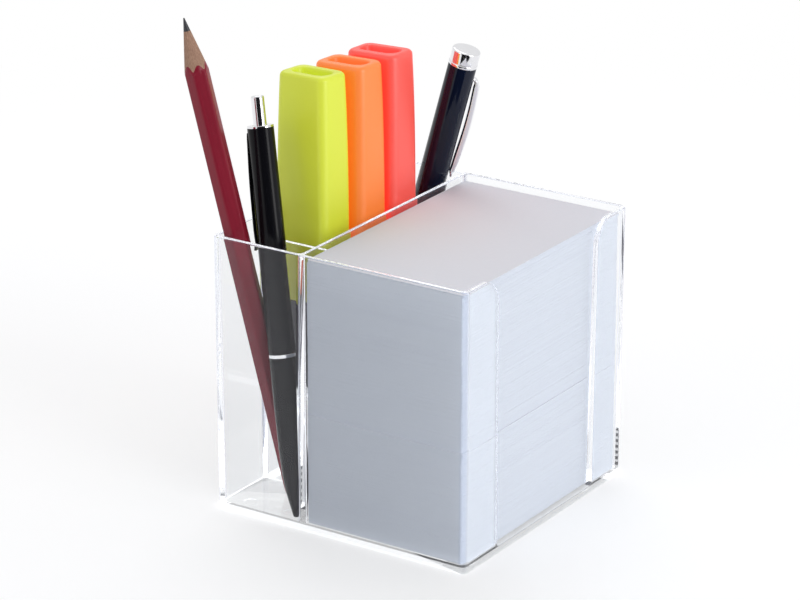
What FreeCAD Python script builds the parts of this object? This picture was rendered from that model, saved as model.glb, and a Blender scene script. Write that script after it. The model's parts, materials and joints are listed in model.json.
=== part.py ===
import FreeCAD, Part
import math
import os

# Desk memo holder: one clear moulding with a deep pen well, a raised shelf well behind it and a
# paper well on the right, standing on z = 0 with its centre at x = y = 0.  Millimetres, +Z up,
# front = -Y, the finger cut-out is in the +X wall.  The wells are loaded with loose paper, a
# pencil, a click ballpoint, three highlighters and a twist ballpoint.

# ---- holder moulding ---------------------------------------------------------------------
RIM_X = 94.0            # outer width at the rim
RIM_Y = 96.0            # outer depth at the rim
HEIGHT = 92.4           # underside to rim
OUTER_DRAFT = 0.2       # each outer face leans in by this much at the foot
CORNER_R = 2.0          # upright outer corners
FLOOR_T = 2.4           # base plate
WALL_FOOT = 2.0         # wall thickness at the floor
WALL_RIM = 1.6          # wall thickness at the rim
WELL_R = 1.2            # upright inner corners of every well
DIVIDER_LEFT_FOOT = -15.3
DIVIDER_LEFT_RIM = -14.4
DIVIDER_RIGHT_FOOT = -13.5
DIVIDER_RIGHT_RIM = -13.2
PARTITION_DROP = 7.5    # the wall between the two pen wells ends this far below the rim
PARTITION_FRONT_FOOT = -23.4
PARTITION_FRONT_TOP = -23.1
PARTITION_BACK_SHELF = -21.6
PARTITION_BACK_TOP = -21.8
SHELF_TOP = 35.0        # floor of the rear pen well
SHELF_T = 2.0
CUTOUT_HALF_FOOT = 29.0
CUTOUT_HALF_TOP = 29.5
CUTOUT_ARC_R = 8.5      # rounding where the cut-out meets the rim
CUTOUT_FOOT_R = 1.2
RIM_ROUND = 0.4
EJECTOR_R = 2.3         # shallow moulding marks in the floors
EJECTOR_DEPTH = 0.25
EJECTOR_SPOTS = ((-37.2, -41.6), (-22.0, -41.6), (0.0, -34.0), (32.0, -34.0), (0.0, 34.0), (32.0, 34.0))

# ---- paper -------------------------------------------------------------------------------
PAPER_DIVIDER_GAP = 0.5  # paper to the divider at the rim
PAPER_CUTOUT_GAP = 1.1   # paper to the wall with the finger cut-out
PAPER_END_GAP = 0.8      # paper to the front and rear walls at the floor
PAPER_BELOW_RIM = 2.0
PAPER_LOWER_T = 35.4
PAPER_MIDDLE_T = 1.5
PAPER_TOP_T = 0.8
PAPER_X0 = DIVIDER_RIGHT_RIM + PAPER_DIVIDER_GAP
PAPER_X1 = RIM_X / 2 - WALL_RIM - PAPER_CUTOUT_GAP
PAPER_HALF_Y = RIM_Y / 2 - OUTER_DRAFT - WALL_FOOT - PAPER_END_GAP
PAPER_SPLIT_Z = FLOOR_T + PAPER_LOWER_T
PAPER_TOP_Z = HEIGHT - PAPER_BELOW_RIM
PAPER_MIDDLE_Z = PAPER_SPLIT_Z + PAPER_MIDDLE_T
PAPER_LEVELS = (FLOOR_T, PAPER_SPLIT_Z, PAPER_MIDDLE_Z, PAPER_TOP_Z - PAPER_TOP_T, PAPER_TOP_Z)
PAPER_NODES = ("paper_lower_pack", "paper_middle_leaves", "paper_upper_pack", "paper_top_leaves")
PAPER_SHIFTS = ((0.0, 0.0), (0.2, -0.3), (-0.1, 0.1), (0.1, 0.2))
LEAF_CORNER_R = 0.5

# ---- shared clearances -------------------------------------------------------------------
RUN_GAP = 0.3           # between pieces that move past each other
STAND_GAP = 0.12        # between a loose piece's foot and the floor it stands on

# ---- pencil (local z runs from the blunt end to the point) -------------------------------
PENCIL_FROM_DIVIDER = 14.1   # axis at the foot, from the divider and from the partition
PENCIL_FROM_PARTITION = 3.95
PENCIL_FROM_LEFT = 4.02      # axis at the rim, from the left and front walls
PENCIL_FROM_FRONT = 3.85
PENCIL_FOOT = (DIVIDER_LEFT_FOOT - PENCIL_FROM_DIVIDER, PARTITION_FRONT_FOOT - PENCIL_FROM_PARTITION)
PENCIL_RIM_X = -RIM_X / 2 + WALL_RIM + PENCIL_FROM_LEFT
PENCIL_RIM_Y = -RIM_Y / 2 + WALL_RIM + PENCIL_FROM_FRONT
PENCIL_RIM = (PENCIL_RIM_X, PENCIL_RIM_Y, HEIGHT)
PENCIL_SPIN = -7.7
PENCIL_FLATS = 6.95
PENCIL_CORNERS_R = 3.85
PENCIL_L = 164.0
PENCIL_CONE_L = 17.8
PENCIL_COAT = 0.25
LEAD_R = 1.05
LEAD_POINT_R = 0.2

# ---- click ballpoint (local z runs from the nose to the button) --------------------------
BALL_FROM_DIVIDER = 2.05     # axis at the foot, from the divider and from the front wall
BALL_FROM_FRONT = 2.35
BALL_CROSS_DROP = 8.0        # it passes the pencil this far below the rim
BALL_PAST_PENCIL = (6.7, 7.58)
BALL_FOOT_Y = -RIM_Y / 2 + OUTER_DRAFT + WALL_FOOT + BALL_FROM_FRONT
BALL_FOOT = (DIVIDER_LEFT_FOOT - BALL_FROM_DIVIDER, BALL_FOOT_Y)
BALL_CLIP_TURN = 200.0
BALL_NOSE_R = 1.55
BALL_NOSE_PROFILE = ((0.6, 1.75), (7.6, 3.15), (13.0, 3.78), (20.0, 4.15))
BALL_R = 4.3
BALL_RING_Z = 51.4
BALL_RING_T = 1.1
BALL_RING_PROUD = 0.08
BALL_TOP = 123.9
BALL_COLLAR_T = 0.7
BALL_BUTTON_R = 2.1
BALL_BUTTON_TOP = 133.9
BALL_BUTTON_FLANGE_R = 2.8
BALL_BUTTON_FLANGE_T = 2.0
BALL_PRESS = 4.2        # button and refill travel
BALL_WALL = 1.1
BALL_TOP_PLATE = 2.0
BALL_POINT_BORE_R = 0.85
BALL_NOSE_BORE_R = 1.5
BALL_TIP_BORE_Z = 5.0
BALL_JOINT_L = 8.0       # wide bore under the ring
BALL_SPRING_BORE_R = 2.5
BALL_SPRING_SEAT = 10.0
BALL_REFILL_SHOULDER = 24.0
BALL_REFILL_R = 1.5
BALL_REFILL_NECK_R = 1.15
BALL_POINT_R = 0.5
BALL_POINT_RECESS = 4.0
BALL_THRUST_L = 12.0
SPRING_WIRE_R = 0.25
SPRING_R = 1.95
SPRING_TURNS = 6
SPRING_SIDES = 6         # the wire's section
CLIP_W = 3.4
CLIP_T = 1.1
CLIP_STANDOFF = 0.75
CLIP_TOP_DROP = 0.6
CLIP_L = 37.9
CLIP_ROOT_L = 3.5

# ---- highlighters (local z runs from the cap end to the slotted end) ---------------------
LIGHT_NAMES = ("green", "orange", "coral")
LIGHT_TURNS = (-3.0, 0.0, 1.0)
LIGHT_LEAN_Y = 0.045
LIGHT_X_SHARES = (-0.4144, 0.2669, 0.5526)   # feet off the well's middle, in shares of the room
LIGHT_LEAN_SHARE = 0.3785                    # of that room, leant towards the left by the rim
REAR_GAP_SHARES = (0.0, 0.0634, 0.097, 0.4438)   # before each highlighter and the twist pen
LIGHT_L = 102.5
LIGHT_R = 2.8           # upright corner rounding
CAP_L = 29.0
CAP_W, CAP_D = 20.4, 14.9
CAP_END_W, CAP_END_D = 17.8, 12.6
CAP_WALL = 1.2
BODY_W, BODY_D = 20.2, 14.7
BODY_TOP_W, BODY_TOP_D = 18.6, 13.2
BODY_EDGE = 1.1
BODY_SLIM = ((40.0, 0.1), (20.0, 0.5), (9.0, 0.95))   # below the top, narrower by
CAP_EDGE = 0.8
END_STEPS = 3
CAVITY_SLIM = 0.6
BODY_WALL = 1.3
NECK_W, NECK_D = 15.4, 10.4
NECK_L = 9.0
NECK_PLUG_L = 8.0
NIB_W, NIB_D = 5.4, 3.6
NIB_R = 0.6
NIB_SEAT_GAP = 0.02     # the nib is gripped in its bore
NIB_TIP = 5.0
NIB_PLUG = 6.0
SLOT_W, SLOT_D, SLOT_DEEP = 11.6, 5.2, 5.0
SLOT_FLOOR_T = 2.0
INK_GAP = 0.4
INK_HEADROOM = 3.0
INK_R = 1.0

# ---- twist ballpoint (local z runs from the nose to the flat chrome top) -----------------
TWIST_FROM_LEFT = 9.3        # axis at the foot, from the left wall
TWIST_CLEAR = 1.7            # barrel to the divider at the rim
TWIST_BACK = 2.5             # leans this far to the rear by the rim
TWIST_CLIP_TURN = 38.0
TWIST_R = 4.65
TWIST_L = 104.9
TWIST_NOSE_R = 1.5
TWIST_NOSE_L = 18.0
TWIST_SPLIT = 46.0
TWIST_RING_T = 1.4
TWIST_CROWN_L = 5.4
TWIST_WALL = 1.1
TWIST_BORE_R = 0.8
TWIST_REFILL_R = 1.2
TWIST_POINT_R = 0.5
TWIST_RECESS = 3.0
TWIST_NOSE_PROFILE = ((0.8, 1.8), (7.0, 3.1), (13.0, 4.2))
TWIST_TIP_BORE_Z = 7.0
TWIST_NECK_BORE_Z = 12.0
TWIST_BORE_TAPER_L = 4.0
SPINDLE_DOWN = 12.0
SPINDLE_UP = 8.0
CROWN_PLUG_L = 6.0
REFILL_HEADROOM = 2.0
TWIST_CLIP_DROP = 8.5
TWIST_CLIP_L = 36.9
TWIST_CLIP_W = 3.2
TWIST_CLIP_T = 0.9
TWIST_CLIP_STANDOFF = 0.9
TWIST_CLIP_ROOT_L = 3.0

V = FreeCAD.Vector


# ---- small shape helpers -----------------------------------------------------------------
def rounded_wire(x0, x1, y0, y1, z, radius):
    """Closed rounded rectangle in the plane at height z."""
    k = radius * (1.0 - math.sqrt(0.5))
    corners = ((x1, y0, -1, 1), (x1, y1, -1, -1), (x0, y1, 1, -1), (x0, y0, 1, 1))
    points = []
    for number, (x, y, sx, sy) in enumerate(corners):
        along_x = V(x + sx * radius, y, z)
        along_y = V(x, y + sy * radius, z)
        middle = V(x + sx * k, y + sy * k, z)
        first, last = (along_x, along_y) if number % 2 == 0 else (along_y, along_x)
        points.append((first, middle, last))
    edges = []
    for number, (first, middle, last) in enumerate(points):
        edges.append(Part.Arc(first, middle, last).toShape())
        edges.append(Part.makeLine(last, points[(number + 1) % 4][0]))
    return Part.Wire(edges)


def tapered_block(lower, upper, radius):
    """Solid between two rectangles given as (x0, x1, y0, y1, z), upright edges rounded."""
    low, high = ([V(x0, y0, z), V(x1, y0, z), V(x1, y1, z), V(x0, y1, z)]
                 for x0, x1, y0, y1, z in (lower, upper))
    loops = [low[::-1], high]
    loops += [[low[k], low[(k + 1) % 4], high[(k + 1) % 4], high[k]] for k in range(4)]
    faces = [Part.Face(Part.makePolygon(loop + loop[:1])) for loop in loops]
    block = Part.makeSolid(Part.makeShell(faces))
    uprights = [e for e in block.Edges if abs(e.Vertexes[0].Z - e.Vertexes[1].Z) > radius]
    return block.makeFillet(radius, uprights).Solids[0]


def centred_wire(width, depth, z, radius):
    return rounded_wire(-width / 2, width / 2, -depth / 2, depth / 2, z, radius)


def centred_loft(sections, radius):
    """Solid through centred rounded rectangles given as (width, depth, z)."""
    wires = [centred_wire(width, depth, z, radius) for width, depth, z in sections]
    return Part.makeLoft(wires, True, True)


def eased_end(width, depth, z, radius, edge, way):
    """Wires that round an end over by a quarter circle; way is +1 for an upper end at height z."""
    wires = []
    for step in range(END_STEPS + 1):
        turn = math.radians(90.0 * step / END_STEPS)
        inset, drop = edge * (1.0 - math.cos(turn)), edge * (1.0 - math.sin(turn))
        wires.append(centred_wire(width - 2 * inset, depth - 2 * inset, z - way * drop, radius - inset))
    return wires if way > 0 else wires[::-1]


def turned(profile):
    """Solid of revolution about Z from (radius, z) points."""
    points = [V(r, 0, z) for r, z in profile]
    points.append(points[0])
    return Part.Face(Part.makePolygon(points)).revolve(V(0, 0, 0), V(0, 0, 1), 360)


def stand(shape, foot, axis, spin=0.0):
    """Turn a local-Z shape by spin about its own axis, then stand it on foot along axis."""
    placed = shape.copy()
    placed.rotate(V(0, 0, 0), V(0, 0, 1), spin)
    placement = FreeCAD.Placement(foot, FreeCAD.Rotation(V(0, 0, 1), axis))
    placed.Placement = placement.multiply(placed.Placement)
    return placed


def unit(vector):
    return FreeCAD.Vector(vector) / vector.Length


def save(shape, node):
    solid = shape.removeSplitter() if shape.ShapeType in ("Compound", "Solid") else shape
    solids = solid.Solids
    result = solids[0] if len(solids) == 1 else solid
    result.exportStep("parts/%s.step" % node)


# ---- holder ------------------------------------------------------------------------------
def outer_block():
    hx, hy, d = RIM_X / 2, RIM_Y / 2, OUTER_DRAFT
    foot = (-hx + d, hx - d, -hy + d, hy - d, 0.0)
    rim = (-hx, hx, -hy, hy, HEIGHT)
    return tapered_block(foot, rim, CORNER_R)


def between(low, high, share):
    return low + (high - low) * share


def well(left, right, front, back, floor, over=2.0):
    """Open well; each side is (position at FLOOR_T, position at the rim)."""
    top = HEIGHT + over
    sides = []
    for z in (floor, top):
        share = (z - FLOOR_T) / (HEIGHT - FLOOR_T)
        sides.append(tuple(between(a, b, share) for a, b in (left, right, front, back)) + (z,))
    return tapered_block(sides[0], sides[1], WELL_R)


def cutout_tool():
    """Finger cut-out through the +X wall, down to the floor."""
    x = RIM_X / 2 - 2.5 * WALL_FOOT
    foot, half, arc, r = CUTOUT_HALF_FOOT, CUTOUT_HALF_TOP, CUTOUT_ARC_R, CUTOUT_FOOT_R
    z_arc, k = HEIGHT - arc, 1.0 - math.sqrt(0.5)
    right = [
        (foot - r, FLOOR_T), (foot - r * k, FLOOR_T + r * k), (foot, FLOOR_T + r),
        (half, z_arc), (half + arc * k, HEIGHT - arc * k), (half + arc, HEIGHT),
        (half + arc, HEIGHT + arc),
    ]
    p = [V(x, y, z) for y, z in right]
    q = [V(x, -y, z) for y, z in right]
    edges = [
        Part.makeLine(q[0], p[0]), Part.Arc(p[0], p[1], p[2]).toShape(), Part.makeLine(p[2], p[3]),
        Part.Arc(p[3], p[4], p[5]).toShape(), Part.makeLine(p[5], p[6]), Part.makeLine(p[6], q[6]),
        Part.makeLine(q[6], q[5]), Part.Arc(q[5], q[4], q[3]).toShape(), Part.makeLine(q[3], q[2]),
        Part.Arc(q[2], q[1], q[0]).toShape(),
    ]
    return Part.Face(Part.Wire(edges)).extrude(V(4 * WALL_FOOT, 0, 0))


def rim_edges(shape):
    """Edges of the rim face whose two end points both lie at rim height."""
    chosen = []
    for edge in shape.Edges:
        level = all(abs(v.Z - HEIGHT) < 1e-4 for v in edge.Vertexes)
        if level and abs(edge.BoundBox.ZMin - HEIGHT) < 1e-3:
            chosen.append(edge)
    return chosen


def holder():
    hx, hy = RIM_X / 2, RIM_Y / 2
    x_foot, y_foot = hx - WALL_FOOT - OUTER_DRAFT, hy - WALL_FOOT - OUTER_DRAFT
    x_rim, y_rim = hx - WALL_RIM, hy - WALL_RIM
    divider_left = (DIVIDER_LEFT_FOOT, DIVIDER_LEFT_RIM)
    divider_right = (DIVIDER_RIGHT_FOOT, DIVIDER_RIGHT_RIM)
    body = outer_block()
    body = body.cut(well(divider_right, (x_foot, x_rim), (-y_foot, -y_rim), (y_foot, y_rim), FLOOR_T))
    front_well = well((-x_foot, -x_rim), divider_left, (-y_foot, -y_rim),
                      (PARTITION_FRONT_FOOT, PARTITION_FRONT_TOP), FLOOR_T)
    rear_well = well((-x_foot, -x_rim), divider_left,
                     (PARTITION_BACK_SHELF, PARTITION_BACK_TOP), (y_foot, y_rim), SHELF_TOP)
    body = body.cut(front_well).cut(rear_well)
    over_partition = well((-x_foot, -x_rim), divider_left, (-y_foot, -y_rim), (y_foot, y_rim),
                          HEIGHT - PARTITION_DROP)
    body = body.cut(over_partition)
    hollow_top = SHELF_TOP - SHELF_T
    hollow = tapered_block(
        (-x_foot - OUTER_DRAFT, DIVIDER_LEFT_FOOT + OUTER_DRAFT, PARTITION_BACK_SHELF - OUTER_DRAFT,
         y_foot + OUTER_DRAFT, 0.0),
        (-x_foot + OUTER_DRAFT, DIVIDER_LEFT_FOOT - OUTER_DRAFT, PARTITION_BACK_SHELF + OUTER_DRAFT,
         y_foot - OUTER_DRAFT, hollow_top), WELL_R)
    body = body.cut(hollow).removeSplitter()
    body = body.makeFillet(RIM_ROUND, rim_edges(body)).cut(cutout_tool())
    for x, y in EJECTOR_SPOTS:
        mark = Part.makeCylinder(EJECTOR_R, EJECTOR_DEPTH + 1.0, V(x, y, FLOOR_T - EJECTOR_DEPTH))
        body = body.cut(mark)
    return body


# ---- paper -------------------------------------------------------------------------------
def paper_stack(number):
    dx, dy = PAPER_SHIFTS[number]
    z0, z1 = PAPER_LEVELS[number], PAPER_LEVELS[number + 1]
    box = (PAPER_X0 + dx, PAPER_X1 + dx, -PAPER_HALF_Y + dy, PAPER_HALF_Y + dy)
    return tapered_block(box + (z0,), box + (z1,), LEAF_CORNER_R)


# ---- pencil ------------------------------------------------------------------------------
def hexagon_bar(flats, length):
    r = flats / math.sqrt(3.0)
    points = [V(r * math.cos(math.radians(60 * k)), r * math.sin(math.radians(60 * k)), 0)
              for k in range(7)]
    return Part.Face(Part.makePolygon(points)).extrude(V(0, 0, length))


def sharpener():
    """Envelope of a sharpened pencil: full barrel below, cone above."""
    cone_foot = PENCIL_L - PENCIL_CONE_L
    return turned(((0, 0), (PENCIL_CORNERS_R, 0), (PENCIL_CORNERS_R, cone_foot),
                   (LEAD_POINT_R, PENCIL_L), (0, PENCIL_L)))


def pencil_parts():
    envelope = sharpener()
    lead = Part.makeCylinder(LEAD_R, PENCIL_L)
    core = hexagon_bar(PENCIL_FLATS - 2 * PENCIL_COAT, PENCIL_L)
    bar = hexagon_bar(PENCIL_FLATS, PENCIL_L)
    return {
        "pencil_lead": lead.common(envelope),
        "pencil_wood": core.common(envelope).cut(lead),
        "pencil_lacquer": bar.common(envelope).cut(core),
    }


# ---- click ballpoint ---------------------------------------------------------------------
def strip_clip(barrel_r, width, thick, standoff, foot_z, root_top, root_l, sink):
    """Pocket clip on the +X side: root on the barrel, long strip, foot pad near the barrel."""
    inner, outer = barrel_r + standoff, barrel_r + standoff + thick
    profile = [
        (barrel_r - sink, root_top), (inner + thick / 2, root_top), (outer, root_top - root_l / 2),
        (outer, foot_z + 2 * thick), (outer - thick / 3, foot_z), (barrel_r + 0.1, foot_z + thick),
        (barrel_r + 0.1, foot_z + 2 * thick), (inner, foot_z + 4 * thick),
        (inner, root_top - root_l), (barrel_r - sink, root_top - root_l),
    ]
    points = [V(x, -width / 2, z) for x, z in profile]
    points.append(points[0])
    return Part.Face(Part.makePolygon(points)).extrude(V(0, width, 0))


def ball_lower_barrel():
    outer = ((BALL_NOSE_R, 0.0),) + tuple((r, z) for z, r in BALL_NOSE_PROFILE) + (
        (BALL_R, BALL_RING_Z),)
    inner, step = BALL_R - BALL_WALL, BALL_RING_Z - BALL_JOINT_L
    bore = ((inner, BALL_RING_Z), (inner, step), (BALL_SPRING_BORE_R, step - 1.0),
            (BALL_SPRING_BORE_R, BALL_SPRING_SEAT), (BALL_NOSE_BORE_R, BALL_SPRING_SEAT),
            (BALL_NOSE_BORE_R, BALL_TIP_BORE_Z), (BALL_POINT_BORE_R, BALL_TIP_BORE_Z - 0.6),
            (BALL_POINT_BORE_R, 0.0))
    return turned(outer + bore)


def ball_ring():
    z0, z1 = BALL_RING_Z, BALL_RING_Z + BALL_RING_T
    outer, inner = BALL_R + BALL_RING_PROUD, BALL_R - BALL_WALL
    return turned(((inner, z0), (outer, z0), (outer, z1), (inner, z1)))


def ball_upper_barrel():
    z0, z1 = BALL_RING_Z + BALL_RING_T, BALL_TOP
    inner, hole = BALL_R - BALL_WALL, BALL_BUTTON_R + RUN_GAP
    tube = turned(((inner, z0), (BALL_R, z0), (BALL_R - 0.1, z1), (hole, z1),
                   (hole, z1 - BALL_TOP_PLATE), (inner, z1 - BALL_TOP_PLATE)))
    return tube.cut(ball_clip())


def ball_collar():
    hole = BALL_BUTTON_R + RUN_GAP
    return turned(((hole, BALL_TOP), (BALL_R - 0.1, BALL_TOP), (BALL_R - 0.3, BALL_TOP + BALL_COLLAR_T),
                   (hole, BALL_TOP + BALL_COLLAR_T)))


def ball_clip():
    top = BALL_TOP - CLIP_TOP_DROP
    return strip_clip(BALL_R, CLIP_W, CLIP_T, CLIP_STANDOFF, top - CLIP_L, top, CLIP_ROOT_L,
                      BALL_WALL / 2)


def ball_button():
    flange_top = BALL_TOP - BALL_TOP_PLATE - RUN_GAP
    flange_foot = flange_top - BALL_BUTTON_FLANGE_T
    top, r = BALL_BUTTON_TOP, BALL_BUTTON_R
    return turned(((0, flange_foot), (BALL_BUTTON_FLANGE_R, flange_foot),
                   (BALL_BUTTON_FLANGE_R, flange_top), (r, flange_top), (r, top - 0.7),
                   (r - 0.2, top - 0.25), (r - 0.7, top), (0, top)))


def ball_thrust_z():
    top = BALL_TOP - BALL_TOP_PLATE - RUN_GAP - BALL_BUTTON_FLANGE_T
    return top - BALL_THRUST_L, top


def ball_thrust():
    z0, z1 = ball_thrust_z()
    r = BALL_R - BALL_WALL - RUN_GAP
    return turned(((0, z0), (r - 0.5, z0), (r, z0 + 2.0), (r, z1 - 5.0), (r - 0.4, z1 - 4.0),
                   (r - 0.4, z1), (0, z1)))


def ball_refill_tube():
    z0, z1 = BALL_REFILL_SHOULDER, ball_thrust_z()[0]
    collar = SPRING_R + SPRING_WIRE_R
    return turned(((0, z0), (collar, z0), (collar, z0 + 1.0), (BALL_REFILL_R, z0 + 1.6),
                   (BALL_REFILL_R, z1), (0, z1)))


def ball_refill_point():
    z0, step = BALL_POINT_RECESS, BALL_TIP_BORE_Z + BALL_PRESS + RUN_GAP
    return turned(((0, z0), (0.3, z0), (BALL_POINT_R, z0 + 1.2), (BALL_POINT_R, step),
                   (BALL_REFILL_NECK_R, step + 1.0), (BALL_REFILL_NECK_R, BALL_REFILL_SHOULDER),
                   (0, BALL_REFILL_SHOULDER)))


def ball_spring():
    z0 = BALL_SPRING_SEAT + SPRING_WIRE_R + 0.05
    z1 = BALL_REFILL_SHOULDER - SPRING_WIRE_R - 0.05
    helix = Part.makeHelix((z1 - z0) / SPRING_TURNS, z1 - z0, SPRING_R)
    turns = [2 * math.pi * side / SPRING_SIDES for side in range(SPRING_SIDES + 1)]
    section = Part.makePolygon([V(SPRING_R + SPRING_WIRE_R * math.cos(a), 0,
                                  SPRING_WIRE_R * math.sin(a)) for a in turns])
    coil = Part.Wire(helix.Edges).makePipeShell([section], True, True)
    coil.translate(V(0, 0, z0))
    return coil


def ball_parts():
    return {
        "ballpoint_lower_barrel": ball_lower_barrel(),
        "ballpoint_ring": ball_ring(),
        "ballpoint_upper_barrel": ball_upper_barrel(),
        "ballpoint_collar": ball_collar(),
        "ballpoint_clip": ball_clip(),
        "ballpoint_button": ball_button(),
        "ballpoint_thrust_tube": ball_thrust(),
        "ballpoint_refill_tube": ball_refill_tube(),
        "ballpoint_refill_point": ball_refill_point(),
        "ballpoint_spring": ball_spring(),
    }


# ---- highlighters ------------------------------------------------------------------------
def light_cap():
    wires = eased_end(CAP_END_W, CAP_END_D, 0.0, LIGHT_R, CAP_EDGE, -1)
    outer = Part.makeLoft(wires + [centred_wire(CAP_W, CAP_D, CAP_L, LIGHT_R)], True, True)
    inner = centred_loft(((CAP_END_W - 2 * CAP_WALL, CAP_END_D - 2 * CAP_WALL, CAP_WALL),
                          (CAP_W - 2 * CAP_WALL, CAP_D - 2 * CAP_WALL, CAP_L + 0.01)),
                         LIGHT_R - CAP_WALL)
    return outer.cut(inner)


def light_cavity_top():
    return LIGHT_L - SLOT_DEEP - SLOT_FLOOR_T


def light_body():
    wires = [centred_wire(BODY_W - less, BODY_D - less, LIGHT_L - down, LIGHT_R)
             for down, less in ((LIGHT_L - CAP_L, 0.0),) + BODY_SLIM]
    wires += eased_end(BODY_TOP_W, BODY_TOP_D, LIGHT_L, LIGHT_R, BODY_EDGE, 1)
    outer = Part.makeLoft(wires, True, True)
    thin = 2 * BODY_WALL + CAVITY_SLIM
    inner = centred_loft(((BODY_W - 2 * BODY_WALL, BODY_D - 2 * BODY_WALL, CAP_L - 0.01),
                          (BODY_TOP_W - thin, BODY_TOP_D - thin, light_cavity_top())),
                         LIGHT_R - BODY_WALL)
    slot = centred_loft(((SLOT_W - 0.4, SLOT_D - 0.4, LIGHT_L - SLOT_DEEP),
                         (SLOT_W, SLOT_D, LIGHT_L + 1.0)), 1.6)
    return outer.cut(inner).cut(slot)


def light_neck():
    """Black front part: plug inside the body, flange under it, tapering neck with the nib bore."""
    plug_w, plug_d = BODY_W - 2 * BODY_WALL - 0.2, BODY_D - 2 * BODY_WALL - 0.2
    plug = centred_loft(((plug_w, plug_d, CAP_L), (plug_w - 0.2, plug_d - 0.2, CAP_L + NECK_PLUG_L)),
                        LIGHT_R - BODY_WALL)
    neck = centred_loft(((NECK_W - 5.0, NECK_D - 3.6, CAP_L - NECK_L - 5.0),
                         (NECK_W, NECK_D, CAP_L - NECK_L), (NECK_W, NECK_D, CAP_L)), 1.6)
    bore_w, bore_d = NIB_W + NIB_SEAT_GAP, NIB_D + NIB_SEAT_GAP
    bore = centred_loft(((bore_w, bore_d, 0.0), (bore_w, bore_d, CAP_L + NECK_PLUG_L + 1.0)), NIB_R)
    return plug.fuse(neck).removeSplitter().cut(bore)


def light_nib():
    bar = centred_loft(((NIB_W, NIB_D, NIB_TIP), (NIB_W, NIB_D, CAP_L + NIB_PLUG)), NIB_R)
    half = NIB_D
    wedge = Part.Face(Part.makePolygon([
        V(-NIB_W, -half, NIB_TIP - 1), V(NIB_W, -half, NIB_TIP - 1), V(NIB_W, -half, NIB_TIP + 4.5),
        V(-NIB_W, -half, NIB_TIP), V(-NIB_W, -half, NIB_TIP - 1)])).extrude(V(0, 2 * half, 0))
    return bar.cut(wedge)


def light_ink():
    foot, top = CAP_L + NECK_PLUG_L, light_cavity_top() - INK_HEADROOM
    less = 2 * BODY_WALL + CAVITY_SLIM + 2 * INK_GAP
    return centred_loft(((BODY_W - less, BODY_D - less, foot),
                         (BODY_TOP_W - less, BODY_TOP_D - less, top)), INK_R)


def light_parts(name):
    return {
        "%s_cap" % name: light_cap(),
        "%s_body" % name: light_body(),
        "%s_neck" % name: light_neck(),
        "%s_nib" % name: light_nib(),
        "%s_ink" % name: light_ink(),
    }


# ---- twist ballpoint ---------------------------------------------------------------------
def twist_lower_barrel():
    inner = TWIST_R - TWIST_WALL
    end, bore = TWIST_SPLIT - RUN_GAP, TWIST_REFILL_R + RUN_GAP
    nose = ((TWIST_BORE_R, 0), (TWIST_NOSE_R, 0)) + tuple((r, z) for z, r in TWIST_NOSE_PROFILE)
    barrel = ((TWIST_R - 0.05, TWIST_NOSE_L), (TWIST_R, end), (inner, end))
    hollow = ((inner, TWIST_NOSE_L + TWIST_BORE_TAPER_L), (bore, TWIST_NECK_BORE_Z),
              (bore, TWIST_TIP_BORE_Z), (TWIST_BORE_R, TWIST_TIP_BORE_Z - 1.0))
    return turned(nose + barrel + hollow)


def twist_spindle():
    """Fixed sleeve that the lower barrel turns on."""
    wide, bore = TWIST_R - TWIST_WALL, TWIST_REFILL_R + RUN_GAP
    r, foot, top = wide - RUN_GAP, TWIST_SPLIT - SPINDLE_DOWN, TWIST_SPLIT + SPINDLE_UP
    return turned(((bore, foot), (r, foot), (r, TWIST_SPLIT), (wide, TWIST_SPLIT), (wide, top),
                   (bore, top)))


def twist_ring():
    z0, z1, outer = TWIST_SPLIT, TWIST_SPLIT + TWIST_RING_T, TWIST_R + 0.1
    inner = TWIST_R - TWIST_WALL
    return turned(((inner, z0), (outer - 0.15, z0), (outer, z0 + 0.2), (outer, z1), (inner, z1)))


def twist_upper_barrel():
    z0, z1 = TWIST_SPLIT + TWIST_RING_T, TWIST_L - TWIST_CROWN_L
    inner = TWIST_R - TWIST_WALL
    tube = turned(((inner, z0), (TWIST_R, z0), (TWIST_R, z1), (inner, z1)))
    return tube.cut(twist_clip())


def twist_crown():
    z0, z1, r = TWIST_L - TWIST_CROWN_L, TWIST_L, TWIST_R
    plug = TWIST_R - TWIST_WALL
    end = z0 - CROWN_PLUG_L
    return turned(((0, end), (plug - 0.4, end), (plug, end + 1.0), (plug, z0), (r + 0.12, z0),
                   (r + 0.12, z0 + 0.9), (r, z0 + 1.1), (r, z1 - 0.5), (r - 0.5, z1), (0, z1)))


def twist_clip():
    top = TWIST_L - TWIST_CLIP_DROP
    return strip_clip(TWIST_R, TWIST_CLIP_W, TWIST_CLIP_T, TWIST_CLIP_STANDOFF, top - TWIST_CLIP_L,
                      top, TWIST_CLIP_ROOT_L, TWIST_WALL / 2)


def twist_refill():
    top = TWIST_L - TWIST_CROWN_L - CROWN_PLUG_L - TWIST_RECESS - REFILL_HEADROOM
    step = TWIST_TIP_BORE_Z + TWIST_RECESS + RUN_GAP
    return turned(((0, TWIST_RECESS), (0.3, TWIST_RECESS), (TWIST_POINT_R, TWIST_RECESS + 1.2),
                   (TWIST_POINT_R, step), (TWIST_REFILL_R, step + 1.0), (TWIST_REFILL_R, top), (0, top)))


def twist_parts():
    return {
        "twistpen_lower_barrel": twist_lower_barrel(),
        "twistpen_spindle": twist_spindle(),
        "twistpen_ring": twist_ring(),
        "twistpen_upper_barrel": twist_upper_barrel(),
        "twistpen_crown": twist_crown(),
        "twistpen_clip": twist_clip(),
        "twistpen_refill": twist_refill(),
    }


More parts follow.
